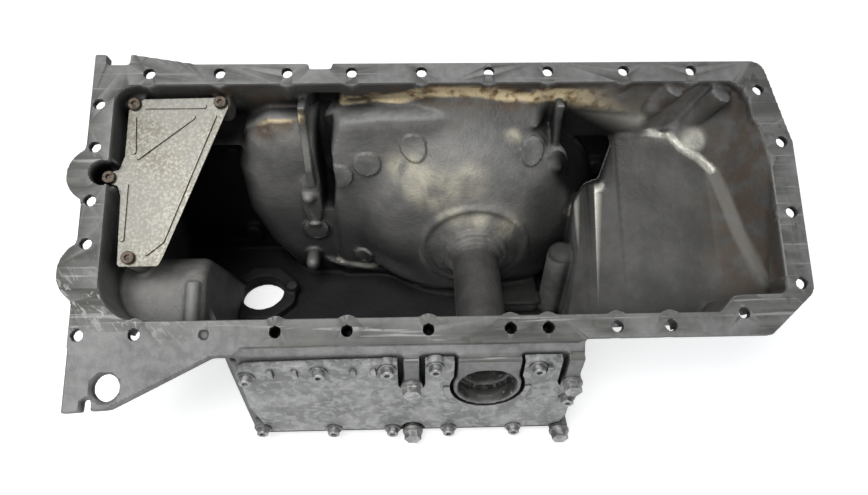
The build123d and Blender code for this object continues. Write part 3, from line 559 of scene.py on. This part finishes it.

# round patches: the middle and the radius, and where they start and are full, as shares of the radius
# painted highlights
HIGHLIGHT_SPOTS = (
    ((0.198, 0.102, 0.187), 0.010),
    ((0.148, 0.121, 0.195), 0.009),
)
BROWN_SPOTS = (
    ((-0.222, 0.122, 0.230), 0.018),
    ((-0.176, 0.130, 0.214), 0.014),
    ((-0.204, 0.124, 0.222), 0.014),
    ((-0.190, 0.130, 0.212), 0.014),
    ((-0.191, 0.113, 0.197), 0.013),
    ((-0.181, 0.116, 0.204), 0.010),
    ((0.184, 0.049, 0.143), 0.015),
    ((0.193, 0.033, 0.136), 0.013),
    ((0.202, 0.021, 0.130), 0.012),
)
PALE_SPOTS = (
    ((-0.067, 0.088, 0.168), 0.018),
    ((-0.052, 0.077, 0.159), 0.019),
    ((-0.042, 0.072, 0.151), 0.017),
    ((-0.027, 0.071, 0.157), 0.018),
    ((-0.007, 0.072, 0.165), 0.016),
    ((-0.024, 0.062, 0.131), 0.013),
    ((0.003, 0.060, 0.127), 0.011),
    ((0.030, 0.063, 0.118), 0.013),
    ((0.031, 0.098, 0.196), 0.007),
)
SPOT_EDGE = (1.5, 0.3)

# what the valley's mask has to reach before it is painted near black as a pocket of shade
VALLEY_PAINT = (0.3, 0.8)


def distance_to_lines(points, lines):
    """Each point's distance to the nearest of the lines."""
    nearest = np.full(len(points), np.inf)
    for line in lines:
        for start, end in zip(line, line[1:]):
            start = np.array(start)
            run = np.array(end) - start
            share = np.clip((points - start) @ run / (run @ run), 0, 1)
            gap = np.linalg.norm(points - start - share[:, None] * run, axis=1)
            nearest = np.minimum(nearest, gap)
    return nearest


def near_spots(points, spots):
    """One in the middle of any spot, falling to nothing past its radius."""
    start, full = SPOT_EDGE
    mask = np.zeros(len(points))
    for middle, radius in spots:
        gap = np.linalg.norm(points - np.array(middle), axis=1)
        mask = np.maximum(mask, smooth_step(start * radius, full * radius, gap))
    return mask


def valley_mask(points):
    """One in the valley beside the left rib, seen along Y."""
    flat = points * (1, 0, 1)
    mask = np.zeros(len(points))
    for (x0, z0, width0), (x1, z1, width1) in zip(VALLEY, VALLEY[1:]):
        start = np.array((x0, 0, z0))
        run = np.array((x1 - x0, 0, z1 - z0))
        share = np.clip((flat - start) @ run / (run @ run), 0, 1)
        gap = np.linalg.norm(flat - start - share[:, None] * run, axis=1)
        width = width0 + share * (width1 - width0)
        mask = np.maximum(mask, smooth_step(*VALLEY_SIDES, gap / width))
    return mask * (points[:, 1] > VALLEY_FRONT_Y) * region("valley_room", {"above": flange_coords(points)[2]})


def skin_places(mesh):
    """Every place that a region's steps can name, for each vertex of the casting's skin."""
    points = mesh_points(mesh)
    normals = mesh_normals(mesh)
    x, y, z = points.T
    along, across, above = flange_coords(points)
    facing = normals @ FLANGE_NORMAL
    away = np.stack([x, z - TUNNEL_HEIGHT], 1)
    radius = np.maximum(np.linalg.norm(away, axis=1), TINY)
    across_middle = np.full_like(across, INSIDE_ACROSS)
    above_middle = np.full_like(above, INSIDE_ABOVE)
    middle = np.stack([np.clip(along, *INSIDE_ALONG), across_middle, above_middle], 1)
    local = np.stack([along, across, above], 1)
    local_normals = np.stack([normals[:, 0], normals @ FLANGE_ACROSS, facing], 1)
    return {
        "x": x,
        "y": y,
        "z": z,
        "along": along,
        "across": across,
        "above": above,
        "normal_x": normals[:, 0],
        "normal_y": normals[:, 1],
        "facing": facing,
        "up_and_near": normals[:, 2] - normals[:, 1],
        "radius": radius,
        "inward": -np.sum(normals[:, (0, 2)] * away, axis=1) / radius,
        "towards_inside": np.sum(local_normals * (middle - local), axis=1),
        "from_cup": np.hypot(along - CUP_PLACE[0], across - CUP_PLACE[1]),
        "from_right_rib": np.abs(x - RIGHT_RIB_X),
        "past_shoulder": x - (SHOULDER_X + SHOULDER_SLOPE * (y - SHOULDER_Y)),
    }


def region(name, places):
    """One inside that region, nothing outside it."""
    mask = 1.0
    for place, low, high in REGIONS[name]:
        mask = mask * smooth_step(low, high, places[place])
    return mask


def soften_hump(piece):
    """Fills the corner above the bell, and lets the hump's lobe run softly into the bell."""
    points = mesh_points(piece.data)
    places = skin_places(piece.data)
    edge = CORNER_Y + np.maximum(0, places["z"] - CORNER_Z)
    places["y"] = places["y"] + region("corner", places) * np.minimum(0, edge - places["y"])
    points[:, 1] = places["y"]
    set_points(piece.data, points)
    lobe = region("lobe", places) * (1 - region("right_rib", places))
    soften(piece, "soft", HUMP_ROUNDS, factor=HUMP_FACTOR, weights=lobe)
    soften(piece, "below", BELOW_ROUNDS, weights=1.0 * (places["above"] < CRISP_DEPTH))
    return evaluated(piece, piece.name)


def shape_hump(mesh):
    """Raises the hump's low pads and sinks the valley beside its left rib."""
    points = mesh_points(mesh)
    normals = mesh_normals(mesh)
    places = skin_places(mesh)
    near_y, far_y = HUMP_FRONT_Y
    front = region("hump_front", places) * (places["y"] > near_y) * (places["y"] < far_y)
    pads = np.zeros(len(points))
    for x, z, radius in HUMP_PADS:
        gap = np.hypot(places["x"] - x, places["z"] - z)
        pads = np.maximum(pads, smooth_step(radius + PAD_EDGE, radius - PAD_EDGE, gap))
    points += (PAD_HEIGHT * pads * front)[:, None] * normals
    points[:, 1] += VALLEY_DEPTH * valley_mask(points) * region("valley_floor", places)
    set_points(mesh, points)


def flatten_flange(mesh):
    """Lays the machined top of the skin back on the flange's plane."""
    points = mesh_points(mesh)
    above = flange_coords(points)[2]
    top = (above > FLANGE_TOP_DEPTH) & (mesh_normals(mesh) @ FLANGE_NORMAL > FLANGE_TOP_FACING)
    points[top] -= above[top, None] * FLANGE_NORMAL
    set_points(mesh, points)


def cast_masks(mesh):
    """Where the casting is machined, oily inside, varnished or rough, and where highlights and shade are
    painted on it, by place and normal.
    """
    points = mesh_points(mesh)
    places = skin_places(mesh)
    top = region("flange_top", places) * (1 - region("ear", places))
    bore = region("bore", places) * (places["radius"] < TUNNEL_SEAT) * (places["y"] < TUNNEL_END)
    cup = region("cup", places)
    inside = np.maximum(region("inside", places), cup)
    varnish_gap = distance_to_lines(points, VARNISH_LINES)
    # highlights painted on beads, edges and spots
    painted_highlight = smooth_step(*HIGHLIGHT_WIDTH, distance_to_lines(points, HIGHLIGHT_LINES))
    halo = smooth_step(*HALO_WIDTH, varnish_gap)
    brown = np.maximum(near_spots(points, BROWN_SPOTS), halo)
    stained_walls = np.maximum(region("right_wall", places), region("end_wall", places))
    valley = smooth_step(*VALLEY_PAINT, valley_mask(points))
    # pockets, the screw cup and the valley, painted near black as shade
    shaded_pockets = [region("left_pocket", places), region("right_pocket", places), cup, valley]
    # dark oil on the tube, ledge and crown, and painted shade on the bell's right flank
    oil_and_shade = [region(name, places) for name in ("tube", "flank", "ledge")]
    oil_and_shade.append(CROWN_OIL * region("crown", places))
    masks = {
        "machined": np.maximum.reduce([top, region("mount_face", places), bore]),
        "inside": inside,
        "varnish": inside * smooth_step(*VARNISH_WIDTH, varnish_gap),
        "painted_highlight": inside * np.maximum(painted_highlight, near_spots(points, HIGHLIGHT_SPOTS)),
        # a highlight painted along the bevel
        "painted_bevel_light": inside * smooth_step(*BEVEL_LIGHT_WIDTH, distance_to_lines(points, BEVEL_LIGHT_LINES)),
        "stain": inside * np.maximum(brown, WALL_STAIN * stained_walls),
        "pale": inside * near_spots(points, PALE_SPOTS),
        "pocket_shade": inside * np.maximum.reduce(shaded_pockets),
        "oil_and_shade": inside * np.maximum.reduce(oil_and_shade),
    }
    for name in ("deep", "floor", "shallow", "paler_front"):
        masks[name] = inside * region(name, places)
    for name in ("dull", "bright", "worn"):
        masks[name] = region(name, places)
    for name, values in masks.items():
        add_attribute(mesh, name, values)


def screw_cup():
    """The closed cup under the flange's notch round the baffle's outer screw, open to the inside."""
    wall = CUP_RADIUS + CUP_WALL
    foot = CUP_LOW - CUP_WALL
    profile = ((CUP_RADIUS, CUP_TOP), (wall, CUP_TOP), (wall, foot))
    profile += ((CUP_MIDDLE, foot), (CUP_MIDDLE, CUP_LOW), (CUP_RADIUS, CUP_LOW))
    count = len(profile)
    places = []
    for step in range(CUP_STEPS + 1):
        angle = CUP_OPENING + (2 * math.pi - 2 * CUP_OPENING) * step / CUP_STEPS
        for radius, above in profile:
            along = CUP_PLACE[0] + radius * math.cos(angle)
            across = CUP_PLACE[1] + radius * math.sin(angle)
            place = FLANGE_ORIGIN + along * np.array((1, 0, 0))
            place = place + across * FLANGE_ACROSS + above * FLANGE_NORMAL
            places.append(tuple(place))
    faces = [tuple(range(count)), tuple(CUP_STEPS * count + i for i in reversed(range(count)))]
    for step in range(CUP_STEPS):
        here = step * count
        beyond = here + count
        for i in range(count):
            j = (i + 1) % count
            faces.append((here + j, here + i, beyond + i, beyond + j))
    mesh = bpy.data.meshes.new("screw_cup")
    mesh.from_pydata(places, [], faces)
    solid = bmesh.new()
    solid.from_mesh(mesh)
    bmesh.ops.recalc_face_normals(solid, faces=solid.faces)
    solid.to_mesh(mesh)
    solid.free()
    return mesh


def make_casting():
    piece = remeshed("pan_casting", "cast_pan", extra=screw_cup())
    piece = soften_hump(piece)
    shape_hump(piece.data)
    flatten_flange(piece.data)
    piece = thinned(piece)
    cast_masks(piece.data)
    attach(piece, "root")
    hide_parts("pan_casting")
    return piece


# ---- the casting's finish ----

# tones, which run from the first colour to the second by a noise
OUTSIDE_TONES = ((0.155, 0.154, 0.151), (0.245, 0.243, 0.237))
INSIDE_TONES = ((0.145, 0.142, 0.134), (0.26, 0.253, 0.237))
VARNISH_TONES = ((0.30, 0.18, 0.08), (0.85, 0.70, 0.43))
FACE_TONES = ((0.060, 0.059, 0.053), (0.158, 0.155, 0.143))
# shade painted near black into corners and crevices
PAINTED_CREVICE_SHADE = (0.01, 0.01, 0.01)

# coats that a noise breaks up: how much they cover at most, and their colour
OUTSIDE_GRAIN = (0.35, (0.35, 0.35, 0.34))
INSIDE_GRAIN = (0.25, (0.08, 0.077, 0.07))
STAIN = (0.85, (0.085, 0.05, 0.026))
VARNISH_COVER = 0.95
PALE_RESIDUE = (0.95, (0.64, 0.59, 0.46))
SCRATCHES = (0.5, (0.55, 0.55, 0.53))
SCUFFS = (0.55, (0.60, 0.60, 0.57))
GRIME = (0.7, (0.07, 0.066, 0.058))

# coats that lie on the whole of a mask: how much they cover, and their colour
UNDERCOATS = {
    "paler_front": (0.22, (0.36, 0.352, 0.33)),
    "deep": (1.0, (0.05, 0.05, 0.05)),
    "floor": (0.95, (0.02, 0.02, 0.022)),
    "shallow": (0.62, (0.03, 0.029, 0.027)),
    # dark oil, and painted shade on the bell's right flank
    "oil_and_shade": (0.7, (0.035, 0.033, 0.03)),
}
# painted light and shade: a highlight along the bevel, highlights on beads and spots, and near-black shade in
# pockets
PAINTED_LIGHT_COATS = {
    "painted_bevel_light": (0.6, (0.24, 0.235, 0.215)),
    "painted_highlight": (0.8, (0.62, 0.60, 0.52)),
    "pocket_shade": (0.93, (0.004, 0.004, 0.004)),
}
FACE_COATS = {
    "dull": (0.4, (0.04, 0.04, 0.037)),
    "bright": (0.2, (0.30, 0.295, 0.28)),
}

# roughness, which runs between two values where a noise drives it
OUTSIDE_ROUGHNESS = 0.6
INSIDE_ROUGHNESS = (0.5, 0.66)
FACE_ROUGHNESS = (0.55, 0.7)
SHALLOW_ROUGHNESS = 0.78
HIGHLIGHT_ROUGHNESS = 0.3

# how deep the relief is in metres, and what share of it the machined faces keep
GRAIN_DEPTH = 0.00012
GRAIN_ON_FACES = 0.15
FINE_DEPTH = 0.00022
FINE_ON_FACES = 0.05

# how metallic the skin is as cast and where machined, and how much it mirrors in the open and in the dark
METALLIC = (0.22, 0.35)
SPECULAR = (0.5, 0.12)


def lay_coats(paint, base, coats):
    """The base under each of the coats in turn."""
    for name, (amount, colour) in coats.items():
        base = paint.coat(base, amount, colour, paint.mask(name))
    return base


def inside_colour(paint, mottle, fine):
    """Oily grey with dark lows, a paler hump front, brown stains, gold varnish and pale residue; painted
    shade on the bell's right flank and in pockets, and painted highlights on beads and along the bevel.
    """
    colour = paint.blend(mottle, *INSIDE_TONES)
    colour = paint.coat(colour, *INSIDE_GRAIN, fine)
    colour = lay_coats(paint, colour, UNDERCOATS)
    blotches = paint.noise(scale=60, low=0.38, high=0.56, detail=9)
    colour = paint.coat(colour, *STAIN, paint.mask("stain"), blotches)
    runs = paint.noise(scale=45, low=0.22, high=0.42, detail=8)
    gold = paint.blend(paint.noise(scale=110, low=0.34, high=0.54, detail=6), *VARNISH_TONES)
    colour = paint.coat(colour, VARNISH_COVER, gold, paint.mask("varnish"), runs)
    drips = paint.noise(scale=50, low=0.22, high=0.72, detail=9, stretch=(1, 1, 0.5), warp=0.5)
    colour = paint.coat(colour, *PALE_RESIDUE, paint.mask("pale"), drips)
    return lay_coats(paint, colour, PAINTED_LIGHT_COATS)


def face_colour(paint, streaks):
    """The machined faces: milled streaks, scratches, a worn corner and grime."""
    colour = paint.blend(streaks, *FACE_TONES)
    scratches = paint.noise(scale=90, low=0.60, high=0.66, detail=8, stretch=(0.10, 3.0, 3.0), warp=0.4)
    colour = paint.coat(colour, *SCRATCHES, scratches)
    scuffs = paint.noise(
        scale=130, low=0.54, high=0.62, detail=9, stretch=(0.25, 2.0, 2.0), turn=(0, 0, 0.9), warp=0.8
    )
    colour = paint.coat(colour, *SCUFFS, paint.mask("worn"), scuffs)
    colour = lay_coats(paint, colour, FACE_COATS)
    grime = paint.noise(scale=110, low=0.56, high=0.66, detail=8)
    return paint.coat(colour, *GRIME, grime)


def cast_finish(piece):
    paint = Finish("cast_aluminium", (0.2, 0.2, 0.2), metallic=0.5, roughness=0.45)
    inside = paint.mask("inside")
    machined = paint.mask("machined")
    mottle = paint.noise(scale=28, low=0.35, high=0.68, detail=8)
    fine = paint.noise(scale=150, low=0.3, high=0.7, detail=6)
    streaks = paint.noise(scale=40, low=0.35, high=0.7, detail=9, stretch=(0.25, 3.0, 3.0))
    grain = paint.noise(scale=520, low=0.3, high=0.7, detail=2)
    outside = paint.coat(paint.blend(mottle, *OUTSIDE_TONES), *OUTSIDE_GRAIN, fine)
    colour = paint.blend(inside, outside, inside_colour(paint, mottle, fine))
    colour = paint.blend(machined, colour, face_colour(paint, streaks))
    # shade painted near black into corners and crevices, by ambient occlusion
    colour = paint.blend(paint.nook(reach=0.02, low=0.35, high=0.95), PAINTED_CREVICE_SHADE, colour)
    rough = paint.blend(inside, OUTSIDE_ROUGHNESS, paint.blend(mottle, *INSIDE_ROUGHNESS))
    rough = paint.blend(machined, rough, paint.blend(streaks, *FACE_ROUGHNESS))
    rough = paint.blend(paint.mask("shallow"), rough, SHALLOW_ROUGHNESS)
    rough = paint.blend(paint.mask("painted_highlight"), rough, HIGHLIGHT_ROUGHNESS)
    paint.bump(paint.times(grain, paint.blend(machined, 1.0, GRAIN_ON_FACES)), GRAIN_DEPTH)
    paint.bump(paint.times(fine, paint.blend(machined, 1.0, FINE_ON_FACES)), FINE_DEPTH)
    dark = paint.times(paint.mask("floor"), paint.mask("pocket_shade"), operation="MAXIMUM")
    paint.feed(paint.shader.inputs["Specular IOR Level"], paint.blend(dark, *SPECULAR))
    paint.finish(piece, colour=colour, roughness=rough, metallic=paint.blend(machined, *METALLIC))


# ---- finishes of the pieces that keep their CAD shape ----

# tones run between two colours by a noise; specks have how much they cover, and their colour
COVER_TONES = ((0.24, 0.24, 0.238), (0.42, 0.42, 0.412))
COVER_SPECKS = (0.4, (0.66, 0.66, 0.65))
# shade painted into the cover's corners and crevices
COVER_CREVICE_SHADE = (0.02, 0.02, 0.02)
COVER_ROUGHNESS = (0.42, 0.6)
BAFFLE_TONES = ((0.122, 0.114, 0.09), (0.23, 0.223, 0.196))
BAFFLE_SPECKS = (0.3, (0.45, 0.44, 0.41))
BAFFLE_ROUGHNESS = (0.34, 0.5)
GASKET_TONES = ((0.02, 0.02, 0.02), (0.05, 0.05, 0.05))


def names_with(*starts):
    """The names of CAD pieces that start with any of those words, in order."""
    return [name for name in sorted(nodes) if name.startswith(starts)]


def cover_finish():
    """Sand-cast grey with pale specks and shade painted dark into its corners."""
    cover = Finish("cover_aluminium", (0.35, 0.35, 0.35), metallic=0.5, roughness=0.5)
    mottle = cover.noise(scale=60, low=0.35, high=0.68, detail=9)
    speck = cover.noise(scale=170, low=0.45, high=0.62, detail=8, warp=0.5)
    tone = cover.coat(cover.blend(mottle, *COVER_TONES), *COVER_SPECKS, speck)
    # shade painted dark into corners and crevices
    tone = cover.blend(cover.nook(reach=0.012, low=0.3, high=0.9), COVER_CREVICE_SHADE, tone)
    cover.bump(speck, depth=0.0002)
    cover.bump(cover.noise(scale=420, low=0.3, high=0.7, detail=3), depth=0.0002)
    cover.finish(nodes["side_cover"], colour=tone, roughness=cover.blend(mottle, *COVER_ROUGHNESS))


def baffle_finish():
    """Oil-tinted sheet steel, faintly brushed."""
    sheet = Finish("baffle_steel", (0.4, 0.4, 0.36), metallic=0.75, roughness=0.4)
    cloud = sheet.noise(scale=22, low=0.35, high=0.65, detail=7)
    specks = sheet.noise(scale=420, low=0.42, high=0.66, detail=5)
    tone = sheet.coat(sheet.blend(cloud, *BAFFLE_TONES), *BAFFLE_SPECKS, specks)
    sheet.bump(sheet.noise(scale=60, low=0.3, high=0.7, stretch=(1, 0.12, 1)), depth=0.00005)
    sheet.finish(nodes["baffle_plate"], colour=tone, roughness=sheet.blend(cloud, *BAFFLE_ROUGHNESS))


def gasket_finish():
    gasket = Finish("gasket_sheet", (0.03, 0.03, 0.03), metallic=0.0, roughness=0.8)
    tone = gasket.blend(gasket.noise(scale=90), *GASKET_TONES)
    gasket.bump(gasket.noise(scale=500, low=0.3, high=0.7), depth=0.0001)
    gasket.finish(nodes["side_cover_gasket"], colour=tone)


def fastener_finish(name, piece_names, base, metallic, noise, tones, roughness, grain):
    """A metal whose tone and roughness follow one noise, with a fine grain of its own."""
    paint = Finish(name, base[0], metallic=metallic, roughness=base[1])
    spots = paint.noise(**noise)
    waves, depth = grain
    paint.bump(paint.noise(scale=waves, low=0.3, high=0.7), depth=depth)
    pieces = [nodes[piece_name] for piece_name in piece_names]
    paint.finish(*pieces, colour=paint.blend(spots, *tones), roughness=paint.blend(spots, *roughness))


def fastener_finishes():
    bolts = names_with("housing_bolt", "side_cover_screw", "drain_plug")
    fastener_finish(
        "dark_screw_steel",
        names_with("baffle_screw"),
        base=((0.1, 0.08, 0.06), 0.4),
        metallic=0.8,
        noise={"scale": 260, "low": 0.35, "high": 0.65},
        tones=((0.035, 0.029, 0.024), (0.16, 0.125, 0.095)),
        roughness=(0.35, 0.6),
        grain=(900, 0.00005),
    )
    fastener_finish(
        "zinc_steel",
        [name for name in bolts if "washer" not in name],
        base=((0.4, 0.4, 0.4), 0.35),
        metallic=0.85,
        noise={"scale": 220, "low": 0.4, "high": 0.65, "detail": 6},
        tones=((0.34, 0.34, 0.33), (0.58, 0.58, 0.57)),
        roughness=(0.3, 0.5),
        grain=(700, 0.00006),
    )
    fastener_finish(
        "washer_aluminium",
        [name for name in bolts if "washer" in name],
        base=((0.4, 0.4, 0.4), 0.45),
        metallic=0.8,
        noise={"scale": 150, "low": 0.4, "high": 0.65},
        tones=((0.33, 0.33, 0.32), (0.5, 0.5, 0.49)),
        roughness=(0.4, 0.55),
        grain=(800, 0.00005),
    )


make_camera()
make_lamps()
make_world()
make_stage()
cast_finish(make_casting())
cover_finish()
baffle_finish()
gasket_finish()
fastener_finishes()

bpy.context.scene.view_settings.view_transform = "Standard"
